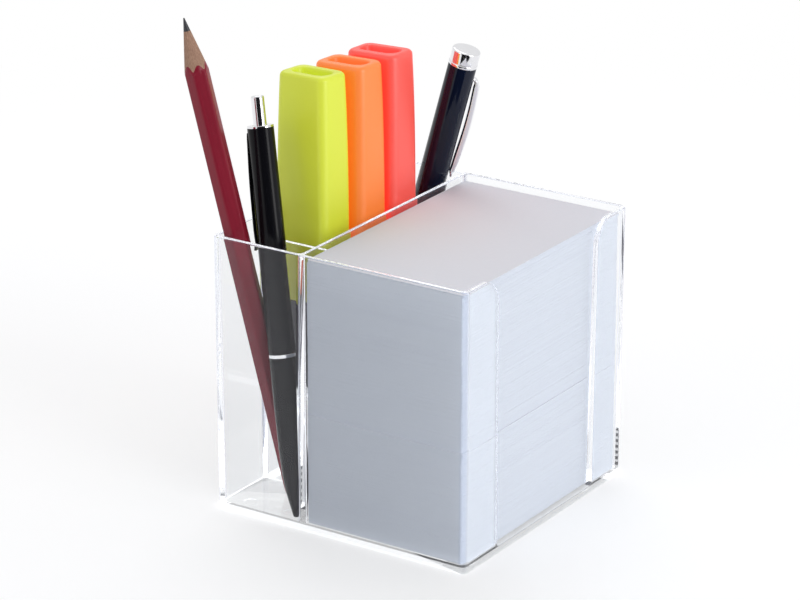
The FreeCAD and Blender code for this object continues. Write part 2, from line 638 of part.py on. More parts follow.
# ---- where each loose piece stands -------------------------------------------------------
def leaning(foot_xy, floor_z, lean_at, foot_r):
    """Foot point and axis of a round-footed piece that leans through lean_at."""
    foot = V(foot_xy[0], foot_xy[1], floor_z)
    axis = unit(V(*lean_at) - foot)
    tilt_lift = foot_r * math.sqrt(1.0 - axis.z ** 2)
    foot.z = floor_z + tilt_lift + STAND_GAP
    return foot, unit(V(*lean_at) - foot)


def past_pencil(pencil_foot, pencil_axis):
    """Point that the ballpoint's axis passes, beside the pencil's axis at the same height."""
    z = HEIGHT - BALL_CROSS_DROP
    at = pencil_foot + pencil_axis * ((z - pencil_foot.z) / pencil_axis.z)
    return at.x + BALL_PAST_PENCIL[0], at.y + BALL_PAST_PENCIL[1], z


def light_lean():
    """Common axis of the highlighters."""
    return unit(V(-LIGHT_LEAN_SHARE * rear_room_x() / (HEIGHT - SHELF_TOP), LIGHT_LEAN_Y, 1.0))


def rear_room_x():
    """Free width on each side of a highlighter in the middle of the rear well."""
    left = -RIM_X / 2 + OUTER_DRAFT + WALL_FOOT
    return (DIVIDER_LEFT_FOOT - left - CAP_W) / 2


def rear_row_y():
    """Centres of the three highlighters and the twist pen along the rear well, front to back;
    each gap is a share of the length that the pieces leave free."""
    rear = RIM_Y / 2 - OUTER_DRAFT - WALL_FOOT
    depths = (CAP_D,) * len(LIGHT_NAMES) + (2 * TWIST_R,)
    free = rear - PARTITION_BACK_SHELF - sum(depths)
    centres, y = [], PARTITION_BACK_SHELF
    for depth, share in zip(depths, REAR_GAP_SHARES):
        centres.append(y + share * free + depth / 2)
        y = centres[-1] + depth / 2
    return centres


def light_feet(axis):
    """Foot points of the highlighters: the lowest corner of each leaning end clears the shelf."""
    lift = (CAP_END_W * abs(axis.x) + CAP_END_D * abs(axis.y)) / 2
    middle = (DIVIDER_LEFT_FOOT - RIM_X / 2 + OUTER_DRAFT + WALL_FOOT) / 2
    return [V(middle + share * rear_room_x(), y, SHELF_TOP + lift + STAND_GAP)
            for share, y in zip(LIGHT_X_SHARES, rear_row_y())]


def twist_stand():
    y = rear_row_y()[-1]
    foot = (-RIM_X / 2 + OUTER_DRAFT + WALL_FOOT + TWIST_FROM_LEFT, y)
    lean_at = (DIVIDER_LEFT_RIM - TWIST_R - TWIST_CLEAR, y + TWIST_BACK, HEIGHT)
    return leaning(foot, SHELF_TOP, lean_at, TWIST_NOSE_R)


def save_standing(parts, foot, axis, turn):
    for node, shape in parts.items():
        save(stand(shape, foot, axis, turn), node)


def main():
    os.makedirs("parts", exist_ok=True)
    save(holder(), "holder")
    for number, node in enumerate(PAPER_NODES):
        save(paper_stack(number), node)
    foot, axis = leaning(PENCIL_FOOT, FLOOR_T, PENCIL_RIM, PENCIL_CORNERS_R)
    save_standing(pencil_parts(), foot, axis, PENCIL_SPIN)
    ball_foot, ball_axis = leaning(BALL_FOOT, FLOOR_T, past_pencil(foot, axis), BALL_NOSE_R)
    save_standing(ball_parts(), ball_foot, ball_axis, BALL_CLIP_TURN)
    axis = light_lean()
    for name, foot, turn in zip(LIGHT_NAMES, light_feet(axis), LIGHT_TURNS):
        save_standing(light_parts(name), foot, axis, turn)
    foot, axis = twist_stand()
    save_standing(twist_parts(), foot, axis, TWIST_CLIP_TURN)


main()
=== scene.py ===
"""Looks of a clear desk memo holder: its paper, pencil, pens and highlighters, in metres.

Shapes are written in millimetres along each piece's own axis and placed at the end.
"""
import json
import math

import bpy
import numpy as np
from mathutils import Euler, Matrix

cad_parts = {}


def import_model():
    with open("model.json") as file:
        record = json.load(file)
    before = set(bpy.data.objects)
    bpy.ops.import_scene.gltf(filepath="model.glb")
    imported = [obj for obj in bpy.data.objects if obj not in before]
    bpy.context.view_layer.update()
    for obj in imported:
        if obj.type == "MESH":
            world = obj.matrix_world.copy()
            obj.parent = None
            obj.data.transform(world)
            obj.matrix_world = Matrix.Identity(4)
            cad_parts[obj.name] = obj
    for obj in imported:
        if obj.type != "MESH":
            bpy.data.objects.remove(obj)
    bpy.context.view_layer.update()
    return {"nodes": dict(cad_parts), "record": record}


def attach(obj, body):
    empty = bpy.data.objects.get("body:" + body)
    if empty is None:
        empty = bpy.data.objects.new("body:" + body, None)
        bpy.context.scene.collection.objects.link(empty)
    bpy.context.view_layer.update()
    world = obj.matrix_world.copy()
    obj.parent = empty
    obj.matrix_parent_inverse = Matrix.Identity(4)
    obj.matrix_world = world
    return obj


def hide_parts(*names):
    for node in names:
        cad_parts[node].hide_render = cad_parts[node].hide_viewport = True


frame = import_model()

MM = 0.001
UP = np.array((0.0, 0.0, 1.0))

# Where each loose piece stands: foot in mm, the joint whose axis it leans along, and its turn
# about that axis in degrees.
PENCIL_PLACE = ((-29.4, -27.35, 3.3294), "pencil_out", -7.7)
BALLPOINT_PLACE = ((-17.35, -43.45, 2.8699), "ballpoint_out", 200.0)
TWISTPEN_PLACE = ((-35.5, 35.8463, 35.4983), "twistpen_out", 38.0)
# name, plastic, place
HIGHLIGHTERS = (
    ("green", "lime", ((-31.9355, -14.15, 35.6697), "green_out", -3.0)),
    ("orange", "orange", ((-28.8356, 1.5996, 35.6697), "orange_out", 0.0)),
    ("coral", "coral", ((-27.5357, 17.7994, 35.6697), "coral_out", 1.0)),
)

JOINT_AXES = {joint["name"]: joint["axis"] for joint in frame["record"]["behaviour"]["joints"]}


# ---- placing and skinning ----------------------------------------------------------------
def placed(points, place):
    """Own millimetres to metres in the shared frame: turn about the own axis, then the smallest
    rotation that takes +Z to the leaning axis (I + K + K.K / (1 + cos)), then move to the foot."""
    foot, joint, turn = place
    axis = np.array(JOINT_AXES[joint]) / np.linalg.norm(JOINT_AXES[joint])
    c, s = math.cos(math.radians(turn)), math.sin(math.radians(turn))
    spin = np.array(((c, -s, 0), (s, c, 0), (0, 0, 1)))
    x, y, z = np.cross(UP, axis)
    k = np.array(((0, -z, y), (z, 0, -x), (-y, x, 0)))
    lean = np.eye(3) + k + k @ k / (1 + axis[2])
    return (points @ (lean @ spin).T + np.array(foot)) * MM


def skin(name, rings, slot, body, place=None, loop=False, instead=(), sharp=32.0):
    """A closed skin over rings (rows x columns x 3): four-sided faces between neighbouring
    rows, and a flat face at each end or, for a loop, faces from the last row to the first."""
    rows, columns, _ = rings.shape
    index = np.arange(rows * columns).reshape(rows, columns)
    low = index if loop else index[:-1]
    high = np.roll(index, -1, axis=0) if loop else index[1:]
    quads = np.stack((low, np.roll(low, -1, 1), np.roll(high, -1, 1), high), -1).reshape(-1, 4)
    faces = quads.tolist()
    if not loop:
        faces += [index[0, ::-1].tolist(), index[-1].tolist()]
    own = rings.reshape(-1, 3)
    points = placed(own, place) if place else own * MM
    mesh = bpy.data.meshes.new(name)
    mesh.from_pydata(points.tolist(), [], faces)
    mesh.attributes.new("own", "FLOAT_VECTOR", "POINT").data.foreach_set("vector", own.ravel())
    mesh.shade_smooth()
    mesh.set_sharp_from_angle(angle=math.radians(sharp))
    piece = bpy.data.objects.new(name, mesh)
    bpy.context.scene.collection.objects.link(piece)
    mesh.materials.append(FINISHES[slot])
    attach(piece, body)
    if instead:
        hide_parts(*instead)


def eased(corners, cut, steps=5, closed=False):
    """Rounds each corner of a line with the curve (1-t)^2 A + 2t(1-t) P + t^2 B, where A and B
    lie the cut length before and after the corner P, at most 0.45 of the shorter run."""
    p = np.array(corners, float)
    back, on = (np.roll(p, 1, 0), np.roll(p, -1, 0)) if closed else (p[:-2], p[2:])
    mid = p if closed else p[1:-1]
    before, after = back - mid, on - mid
    lb = np.linalg.norm(before, axis=1, keepdims=True)
    la = np.linalg.norm(after, axis=1, keepdims=True)
    size = np.broadcast_to(np.asarray(cut, float), (len(mid),))[:, None]
    d = np.minimum(size, 0.45 * np.minimum(lb, la))
    a, b = (mid + before / lb * d)[:, None], (mid + after / la * d)[:, None]
    t = np.linspace(0, 1, steps)[None, :, None]
    curve = ((1 - t) ** 2 * a + 2 * t * (1 - t) * mid[:, None] + t * t * b).reshape(-1, p.shape[1])
    return curve if closed else np.vstack((p[:1], curve, p[-1:]))


def lathe(profile, columns=96):
    """Rings of a turned piece: (r cos a, r sin a, z) for each (r, z) of the profile."""
    angle = np.arange(columns) * (2 * math.pi / columns)
    r, z = np.asarray(profile, float).T[:, :, None]
    return np.stack((r * np.cos(angle), r * np.sin(angle), z + 0 * angle), -1)


def oblongs(width, depth, radius, z, arc=7):
    """Rounded rectangles, one per row: corner centres at half the size less the radius, with
    a quarter circle round each."""
    width, depth, radius, z = (np.asarray(v, float)[:, None] for v in np.broadcast_arrays(
        width, depth, radius, z))
    quarter = np.repeat(np.arange(4) * math.pi / 2, arc + 1)
    angle = quarter + np.tile(np.linspace(0, math.pi / 2, arc + 1), 4)
    side_x, side_y = np.sign(np.cos(quarter + math.pi / 4)), np.sign(np.sin(quarter + math.pi / 4))
    x = side_x * (width / 2 - radius) + radius * np.cos(angle)
    y = side_y * (depth / 2 - radius) + radius * np.sin(angle)
    return np.stack((x, y, z + 0 * x), -1)


def strip(path, width, thick, columns=20, power=3.0):
    """A strip carried along a path in the own XZ plane: each cross section is the rounded box
    |a|^p + |b|^p = 1 of the given width (along Y) and thickness (across the path)."""
    path = np.asarray(path, float)
    run = np.gradient(path, axis=0)
    run /= np.linalg.norm(run, axis=1, keepdims=True)
    angle = np.arange(columns) * (2 * math.pi / columns)
    c, s = np.cos(angle), np.sin(angle)
    a = np.sign(c) * np.abs(c) ** (2 / power)
    b = np.sign(s) * np.abs(s) ** (2 / power)
    across, along = np.asarray(thick)[..., None] / 2 * a, np.asarray(width)[..., None] / 2 * b
    across, along = (np.broadcast_to(v, (len(path), columns)) for v in (across, along))
    x = path[:, :1] + across * run[:, 1:]
    z = path[:, 1:] - across * run[:, :1]
    return np.stack((x, along, z), -1)


# ---- shader sheets -----------------------------------------------------------------------
class Wire:
    """A node's output, which takes + - * ** and plain numbers on either side."""

    def __init__(self, sheet, socket):
        self.sheet, self.socket = sheet, socket

    def _math(self, operation, first, second):
        return self.sheet.node("Math", {"operation": operation}, {0: first, 1: second})

    def __add__(self, other):
        return self._math("ADD", self, other)

    def __radd__(self, other):
        return self._math("ADD", other, self)

    def __sub__(self, other):
        return self._math("SUBTRACT", self, other)

    def __rsub__(self, other):
        return self._math("SUBTRACT", other, self)

    def __mul__(self, other):
        return self._math("MULTIPLY", self, other)

    def __rmul__(self, other):
        return self._math("MULTIPLY", other, self)

    def __pow__(self, other):
        return self._math("POWER", self, other)

    def least(self, other):
        return self._math("MINIMUM", self, other)

    def most(self, other):
        return self._math("MAXIMUM", self, other)

    def above(self, other):
        return self._math("GREATER_THAN", self, other)

    def size(self):
        return self._math("ABSOLUTE", self, 0.0)


class Sheet:
    """The node sheet of one finish, or of the world."""

    def __init__(self, tree):
        self.tree = tree
        tree.nodes.clear()

    def node(self, kind, settings=None, values=None, out=0):
        node = self.tree.nodes.new("ShaderNode" + kind)
        for key, value in (settings or {}).items():
            if key == "stops":
                for place, colour in value[1:-1]:
                    node.color_ramp.elements.new(place)
                for element, (place, colour) in zip(node.color_ramp.elements, value):
                    element.position, element.color = place, colour + (1.0,)
            else:
                setattr(node, key, value)
        for key, value in (values or {}).items():
            socket = node.inputs[key]
            if isinstance(value, Wire):
                self.tree.links.new(value.socket, socket)
            elif isinstance(value, tuple) and socket.type == "RGBA":
                socket.default_value = value[:3] + (1.0,)
            else:
                socket.default_value = value
        return Wire(self, node.outputs[out])

    def blend(self, share, first, second):
        """Colour mixed from the first to the second by share."""
        return self.node("Mix", {"data_type": "RGBA"}, {0: share, 6: first, 7: second}, out=2)

    def scaled(self, vector, scale):
        """The vector with each part times its own scale."""
        return self.node("VectorMath", {"operation": "MULTIPLY"}, {0: vector, 1: scale})

    def own(self):
        """Own millimetres of a piece made here."""
        return self.node("Attribute", {"attribute_name": "own"}, out=1)

    def spot(self):
        """Metres in the shared frame."""
        return self.node("TexCoord", out=3)

    def noise(self, vector, scale, detail=3.0, roughness=0.5):
        return self.node("TexNoise", None, {"Vector": vector, "Scale": scale, "Detail": detail,
                                            "Roughness": roughness})

    def bump(self, height, strength, distance):
        return self.node("Bump", None, {"Height": height, "Strength": strength,
                                        "Distance": distance})

    def ray(self, answer):
        """What the light path says of the ray, by the answer's name."""
        return self.node("LightPath", out=answer)

    def normal(self, part):
        """One part of the surface's normal: 0, 1 or 2 for x, y or z."""
        return self.split(self.node("NewGeometry", out=1), part)

    def split(self, vector, out):
        return self.node("SeparateXYZ", None, {0: vector}, out=out)

    def end(self, shader, kind="OutputMaterial"):
        last = self.tree.nodes.new("ShaderNode" + kind)
        self.tree.links.new(shader.socket, last.inputs["Surface"])


def finish(name):
    """Starts a finish; the object's own are named after their slots in the record."""
    material = bpy.data.materials.new(name + "_finish")
    material.use_nodes = True
    return material, Sheet(material.node_tree)


# The clear box: top of its floor plate's edge in metres, tints of its flat parts, the painted
# shade tint of its rounded parts, and the painted glow of flat walls, rounded edges and the foot.
FOOT_Z = 0.0023
ROUND_TURN = 0.08
FLAT_TINTS = ((0.976, 0.981, 0.984), (0.958, 0.968, 0.973))
PAINTED_ROUND_SHADE = (0.80, 0.83, 0.88)
THROUGH_TINT = (0.985, 0.988, 0.99)
FLAT_GLOW = (0.003, 0.003, 0.004)
ROUND_GLOW = (0.04, 0.04, 0.055)
FOOT_GLOW = (0.46, 0.47, 0.48)


def rounded_share(s):
    """Share by how far the surface turns from the main directions: 0 on the flat walls, 1 on
    rounded edges and corners; (1 - the normal's largest part) / ROUND_TURN, at most 1."""
    x, y, z = (s.normal(k).size() for k in range(3))
    return ((1 - x.most(y).most(z)) * (1 / ROUND_TURN)).least(1.0)


def foot_share(s):
    """1 on the upright edge of the floor plate, below FOOT_Z, else 0."""
    upright = 1 - (s.normal(2) ** 2)
    return upright.above(0.5) * (1 - s.split(s.spot(), 2).above(FOOT_Z))


def clear_styrene():
    """Moulded clear styrene: polished, with faint haze and flow waves; lets lamps through.  Its
    rounded edges carry a painted shade tint, and a painted glow lies faintly on the flat walls,
    more on the rounded edges and most on the rim of its floor, standing in for light that runs
    inside the walls."""
    material, s = finish("clear_styrene")
    spot = s.spot()
    haze = s.noise(spot, 60.0, 4.0)
    waves = s.noise(s.scaled(spot, (40.0, 40.0, 9.0)), 1.0, 1.0)
    turned = rounded_share(s)
    level = s.normal(2).size()
    # Painted glow: faint on flat walls, more on rounded edges that face up or down, most on the
    # foot.
    painted_glow = s.blend(turned * (0.35 + 0.65 * level), FLAT_GLOW, ROUND_GLOW)
    # Painted shade: the rounded edges are tinted darker than the flat walls.
    glass = s.node("BsdfPrincipled", None, {
        "Base Color": s.blend(turned, s.blend(haze, *FLAT_TINTS), PAINTED_ROUND_SHADE),
        "Roughness": 0.004 + 0.012 * haze, "IOR": 1.55, "Transmission Weight": 1.0,
        "Specular Tint": (0.3, 0.3, 0.3), "Emission Strength": 1.0,
        "Emission Color": s.blend(foot_share(s), painted_glow, FOOT_GLOW),
        "Normal": s.bump(waves, 0.015, 0.001)})
    through = s.node("BsdfTransparent", None, {"Color": THROUGH_TINT})
    s.end(s.node("MixShader", None, {0: s.ray("Is Shadow Ray"), 1: glass, 2: through}))
    return material


def white_paper():
    """Cut edges of a loose stack: painted shade in fine level lines where single leaves stand
    proud, over broader bands where a handful do, the upright sides painted a little darker and
    bluer than the top face as shade between the leaves, and soft fibre mottling."""
    material, s = finish("white_paper")
    spot = s.spot()
    leaves = s.noise(s.scaled(spot, (22.0, 22.0, 5200.0)), 1.0, 2.0, 0.6)
    bands = s.noise(s.scaled(spot, (9.0, 9.0, 700.0)), 1.0, 3.0, 0.6)
    fibre = s.noise(spot, 900.0, 4.0)
    upright = 1 - (s.normal(2) ** 2)
    # Painted shade: level lines on the upright sides from the leaves and bands, with fibre
    # mottling.
    line = ((leaves - 0.5) * 0.6 + (bands - 0.5) * 0.2) * upright + (fibre - 0.5) * 0.12
    tone = s.node("Math", {"operation": "ADD", "use_clamp": True}, {0: line, 1: 0.5})
    # Painted shade: the upright sides take darker, bluer tones than the top face.
    edge = s.blend(tone, (0.76, 0.81, 0.90), (0.86, 0.91, 0.99))
    face = s.blend(fibre, (0.86, 0.87, 0.935), (0.89, 0.90, 0.965))
    colour = s.blend(upright, face, edge)
    height = leaves * upright * 0.6 + fibre * 0.25
    s.end(s.node("BsdfPrincipled", None, {
        "Base Color": colour, "Roughness": 0.82 + 0.1 * fibre, "Specular IOR Level": 0.25,
        "Normal": s.bump(height, 0.2, 0.0001)}))
    return material


def lacquer():
    """Pencil lacquer: deep crimson under a clear gloss, in slow darker and lighter flow, with a few
    paler worn spots.
    """
    material, s = finish("crimson_lacquer")
    own = s.own()
    flow = s.noise(s.scaled(own, (1.2, 1.2, 0.05)), 1.0, 3.0)
    dust = s.noise(own, 2.2, 5.0, 0.6)
    colour = s.blend(flow, (0.21, 0.005, 0.020), (0.30, 0.010, 0.032))
    worn = s.blend((dust - 0.62).most(0.0) * 2.0, colour, (0.36, 0.07, 0.09))
    s.end(s.node("BsdfPrincipled", None, {
        "Base Color": worn, "Roughness": 0.24 + 0.16 * dust, "Specular IOR Level": 0.3,
        "Normal": s.bump(flow * 0.5 + dust * 0.2, 0.25, 0.0002)}))
    return material


def cedar():
    """Freshly sharpened cedar: streaks along the grain, fine turning marks round the cone."""
    material, s = finish("cedar")
    own = s.own()
    streaks = s.noise(s.scaled(own, (5.0, 5.0, 0.18)), 1.0, 4.0, 0.6)
    turning = s.node("TexWave", {"bands_direction": "Z"}, {
        "Vector": own, "Scale": 1.6, "Distortion": 1.5, "Detail": 2.0})
    colour = s.node("ValToRGB", {"stops": (
        (0.25, (0.24, 0.12, 0.075)), (0.5, (0.40, 0.23, 0.155)), (0.78, (0.54, 0.34, 0.24)))},
        {0: streaks})
    s.end(s.node("BsdfPrincipled", None, {
        "Base Color": colour, "Roughness": 0.62 + 0.2 * streaks,
        "Normal": s.bump(streaks * 0.6 + turning * 0.3, 0.35, 0.0001)}))
    return material


def graphite():
    """Graphite: dark grey with a metallic sheen where the sharpener burnished it."""
    material, s = finish("graphite")
    own = s.own()
    grain = s.noise(own, 7.0, 5.0, 0.65)
    s.end(s.node("BsdfPrincipled", None, {
        "Base Color": s.blend(grain, (0.020, 0.020, 0.024), (0.10, 0.10, 0.11)),
        "Roughness": 0.30 + 0.25 * grain, "Metallic": 0.35,
        "Normal": s.bump(grain, 0.3, 0.00006)}))
    return material


def moulded(name, dark, light, rough, gloss=0.5, own=True, glow=(0, 0, 0), texture=0.08):
    """Moulded plastic: slow flow shading between two near tones, fine skin texture, and sparse
    handling marks that scatter the gloss; a fluorescent one carries a steady painted glow that
    stands for its fluorescence."""
    material, s = finish(name)
    at = s.own() if own else s.scaled(s.spot(), (1 / MM, 1 / MM, 1 / MM))
    flow = s.noise(s.scaled(at, (1.0, 1.0, 0.25)), 0.07, 2.0)
    grain = s.noise(at, 3.5, 4.0, 0.6)
    marks = (s.noise(s.scaled(at, (1.0, 1.0, 0.2)), 0.9, 5.0, 0.7) - 0.60).most(0.0) * 1.6
    s.end(s.node("BsdfPrincipled", None, {
        "Base Color": s.blend(flow, dark, light), "Roughness": rough + 0.05 * grain + marks * 0.3,
        "Specular IOR Level": gloss, "Emission Color": glow, "Emission Strength": 1.0,
        "Normal": s.bump(grain, texture, 0.00005)}))
    return material


def plated(name, dark, light, rough, along=0.12, own=True, strength=0.05):
    """Metal: polish or drawing lines along the piece, with a slight tarnish variation."""
    material, s = finish(name)
    at = s.own() if own else s.scaled(s.spot(), (1 / MM, 1 / MM, 1 / MM))
    lines = s.noise(s.scaled(at, (3.0, 3.0, along)), 1.6, 4.0, 0.6)
    cloud = s.noise(at, 0.35, 3.0)
    s.end(s.node("BsdfPrincipled", None, {
        "Base Color": s.blend(cloud, dark, light), "Metallic": 1.0,
        "Roughness": rough + 0.10 * lines, "Normal": s.bump(lines, strength, 0.00005)}))
    return material


def felt(name, dark, light):
    """Ink-soaked felt: short tangled fibres and darker wet patches."""
    material, s = finish(name)
    spot = s.spot()
    fibre = s.noise(s.scaled(spot, (5000.0, 5000.0, 900.0)), 1.0, 4.0, 0.7)
    wet = s.noise(spot, 250.0, 2.0)
    s.end(s.node("BsdfPrincipled", None, {
        "Base Color": s.blend(fibre * 0.6 + wet * 0.4, dark, light),
        "Roughness": 0.75 + 0.2 * fibre, "Sheen Weight": 0.3,
        "Normal": s.bump(fibre, 0.6, 0.0001)}))
    return material


FINISHES = {material.name.removesuffix("_finish"): material for material in (
    clear_styrene(), white_paper(), lacquer(), cedar(), graphite(),
    moulded("black_gloss", (0.0035, 0.0035, 0.005), (0.008, 0.008, 0.011), 0.16, 0.15,
            texture=0.02),
    moulded("black_satin", (0.010, 0.010, 0.012), (0.020, 0.020, 0.024), 0.42, 0.2, own=False,
            texture=0.03),
    moulded("navy_gloss", (0.003, 0.005, 0.016), (0.005, 0.010, 0.032), 0.08, 0.3,
            texture=0.02),
    moulded("refill_plastic", (0.62, 0.66, 0.70), (0.78, 0.80, 0.84), 0.32, own=False),
    moulded("white_plastic", (0.78, 0.78, 0.77), (0.86, 0.86, 0.85), 0.36, own=False),
    # Painted glow: the three highlighter plastics glow as a stand-in for fluorescence.
    moulded("lime_plastic", (0.78, 0.90, 0.035), (0.80, 0.92, 0.060), 0.40, 0.9,
            glow=(0.08, 0.07, 0.0)),
    moulded("orange_plastic", (0.90, 0.24, 0.035), (0.94, 0.28, 0.055), 0.40, 0.9,
            glow=(0.30, 0.04, 0.0)),
    moulded("coral_plastic", (0.88, 0.10, 0.075), (0.92, 0.12, 0.095), 0.40, 0.9,
            glow=(0.26, 0.01, 0.006)),
    plated("bright_chrome", (0.86, 0.86, 0.88), (0.93, 0.93, 0.95), 0.05),
    plated("spring_steel", (0.42, 0.42, 0.44), (0.58, 0.58, 0.60), 0.24, own=False),
    plated("point_brass", (0.60, 0.42, 0.18), (0.78, 0.60, 0.30), 0.22, own=False),
    felt("lime_felt", (0.30, 0.42, 0.01), (0.62, 0.78, 0.06)),
    felt("orange_felt", (0.55, 0.12, 0.01), (0.95, 0.33, 0.05)),
    felt("coral_felt", (0.50, 0.04, 0.03), (0.92, 0.16, 0.10)),
)}

# ---- paper -------------------------------------------------------------------------------
LEAF = 0.2               # height of one step in a stack's side, two thin leaves
LEAF_CORNER_R = 0.45
LEAF_REACH = 0.3         # furthest that a step stands out or in
PAPER_X = (-12.7, 44.3)
PAPER_HALF_Y = 45.0
PAPER_SEED = 11
# node, floor, top, shift, unevenness of its leaves, body
PAPER_STACKS = (
    ("paper_lower_pack", 2.4, 37.8, (0.0, 0.0), 0.03, "paper_stack"),
    ("paper_middle_leaves", 37.8, 39.3, (0.2, -0.3), 0.04, "paper_stack"),
    ("paper_upper_pack", 39.3, 89.6, (-0.1, 0.1), 0.035, "paper_stack"),
    ("paper_top_leaves", 89.6, 90.4, (0.1, 0.2), 0.06, "top_leaves"),
)


def paper(number, node, low, high, shift, uneven, body):
    """Leaves as level steps: each leaf's outline is a nearly square-cornered rectangle moved
    by its own small random offset plus a slow drift; both its edges are rows of the skin."""
    rng = np.random.default_rng(PAPER_SEED + number)
    count = max(2, int(round((high - low) / LEAF)))
    edges = np.linspace(low, high, count + 1)
    z = np.stack((edges[:-1], edges[1:]), 1).ravel()
    drift = np.cumsum(rng.normal(0, uneven * 0.25, (count, 2)), 0)
    drift -= np.linspace(0, 1, count)[:, None] * drift[-1]
    offset = np.clip(drift + rng.normal(0, uneven, (count, 2)), -LEAF_REACH, LEAF_REACH)
    offset = np.repeat(offset, 2, axis=0)
    width, depth = PAPER_X[1] - PAPER_X[0], 2 * PAPER_HALF_Y
    rings = oblongs(width, depth, LEAF_CORNER_R, z, arc=3)
    rings[:, :, 0] += sum(PAPER_X) / 2 + shift[0] + offset[:, :1]
    rings[:, :, 1] += shift[1] + offset[:, 1:]
    skin(node + "_cut", rings, "white_paper", body, instead=(node,), sharp=20.0)


for number, stack in enumerate(PAPER_STACKS):
    paper(number, *stack)

# ---- pencil ------------------------------------------------------------------------------
PENCIL_L = 164.0
PENCIL_FLATS = 6.95
PENCIL_CORNERS_R = 3.85
PENCIL_CONE_L = 17.8
PENCIL_COAT = 0.25
LEAD_R = 1.05
LEAD_POINT_R = 0.2
PENCIL_COLUMNS = 120
CONE_SLOPE = (PENCIL_CORNERS_R - LEAD_POINT_R) / PENCIL_CONE_L


def hexagon(flats, corners_r):
    """Radius of a rounded hexagon by angle: the flats' r = half the flats / cos(angle from the
    flat), joined smoothly to the corner circle as (r^-60 + R^-60)^(-1/60)."""
    angle = np.arange(PENCIL_COLUMNS) * (2 * math.pi / PENCIL_COLUMNS)
    off = angle % (math.pi / 3) - math.pi / 6
    flat = flats / 2 / np.cos(off)
    return angle, (flat ** -60.0 + corners_r ** -60.0) ** (-1 / 60.0)


def cone_z(radius):
    """Height at which the sharpened cone has this radius."""
    return PENCIL_L - (radius - LEAD_POINT_R) / CONE_SLOPE


def rings_at(angle, radius, z):
    """Rings from a radius and a height for each angle: (r cos a, r sin a, z)."""
    angle, radius, z = np.broadcast_arrays(angle, radius, z)
    return np.stack((radius * np.cos(angle), radius * np.sin(angle), z), -1)


def pencil():
    """Coat, wood and lead: each is carried up to where its surface meets the cone, so that the
    coat ends in the scallops that a sharpener leaves on six flats."""
    angle, coat = hexagon(PENCIL_FLATS, PENCIL_CORNERS_R)
    core = coat - PENCIL_COAT
    t = np.linspace(0, 1, 60)[:, None]
    outer = rings_at(angle, coat - 0.12 * (1 - np.minimum(t * 60, 1)) ** 2,
                     t * (cone_z(coat) - 0.05))
    lip = rings_at(angle, (coat - 0.03)[None], (cone_z(coat) + 0.02)[None])
    inner = rings_at(angle, core + 0 * t, (1 - t) * cone_z(core))
    skin("pencil_coat", np.vstack((outer, lip, inner)), "crimson_lacquer", "pencil",
         PENCIL_PLACE, loop=True, instead=("pencil_lacquer",), sharp=30.0)
    wood = rings_at(angle, core + 0 * t, t * cone_z(core))
    fray = 0.05 * np.sin(angle * 23) * np.sin(angle * 7 + 1)
    r = core + (LEAD_R - core) * t[1:]
    cone = rings_at(angle, r, cone_z(r) + fray * np.sin(t[1:] * math.pi))
    bore = rings_at(angle, LEAD_R + 0 * t, (1 - t) * cone_z(LEAD_R))
    skin("pencil_cedar", np.vstack((wood, cone, bore[1:])), "cedar", "pencil",
         PENCIL_PLACE, loop=True, instead=("pencil_wood",), sharp=30.0)
    tip = eased(((0.02, 0.0), (LEAD_R - 0.01, 0.0), (LEAD_R - 0.01, cone_z(LEAD_R)),
                 (LEAD_POINT_R, PENCIL_L - 0.05), (0.02, PENCIL_L)), (0.1, 0.15, 0.12))
    skin("pencil_core", lathe(tip, 48), "graphite", "pencil", PENCIL_PLACE,
         instead=("pencil_lead",))


pencil()

# ---- click ballpoint ---------------------------------------------------------------------
BALL_R = 4.3
BALL_BORE = 3.2
BALL_RING_Z = 51.4
BALL_RING_T = 1.1
BALL_TOP = 123.9
BALL_COLLAR_T = 0.7
BALL_BUTTON_TOP = 133.9
BALL_BUTTON_R = 2.1
BALL_BUTTON_HOLE = 2.4
BALL_PLATE_T = 2.0
BALL_FLANGE_R = 2.8
BALL_FLANGE_T = 2.0
BALL_FLANGE_PLAY = 0.3


